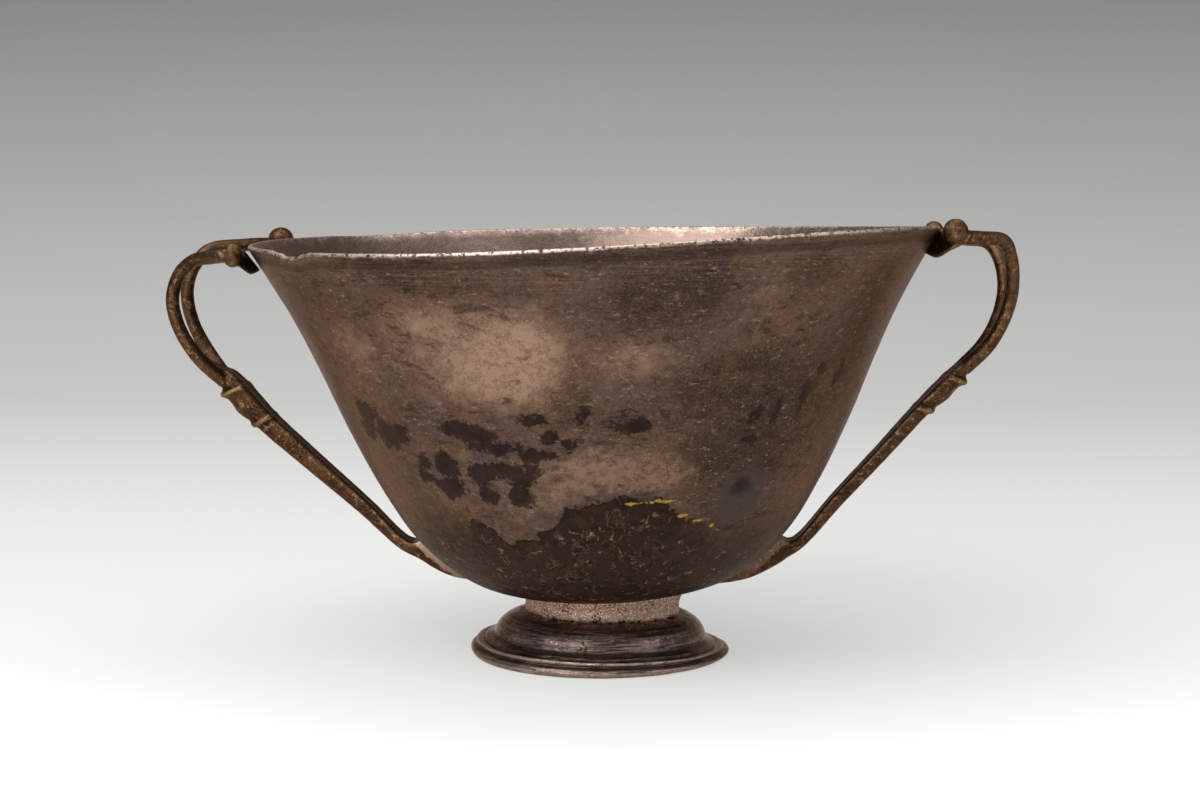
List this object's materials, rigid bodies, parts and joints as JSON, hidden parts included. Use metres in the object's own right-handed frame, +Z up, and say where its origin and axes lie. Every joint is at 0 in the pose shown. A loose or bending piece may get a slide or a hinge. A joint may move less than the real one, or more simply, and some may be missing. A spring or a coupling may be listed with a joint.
{
  "type": "silver skyphos",
  "caption": "Deep flaring silver drinking cup on a moulded ring foot, with forked wishbone handles from the lower wall to knobs at the rim.",
  "frame": {"origin": "on the surface the cup stands on, under the middle of its bounding box", "axes": "+Z up, X through the two handles, Y across them; the side seen in the picture faces -Y"},
  "size_m": [0.1864, 0.15, 0.0967],
  "materials": {
    "bowl": "tarnished raised silver sheet with brown patina and a dark crust low on the wall; the list has no silver",
    "foot": "dark tarnished silver, glossy on the mouldings",
    "handles": "pitted cast silver, worn brighter on its ridges"
  },
  "bodies": {
    "root": {"bowl": "bowl", "foot": "foot", "handle_left": "handles", "handle_right": "handles"}
  },
  "joints": []
}
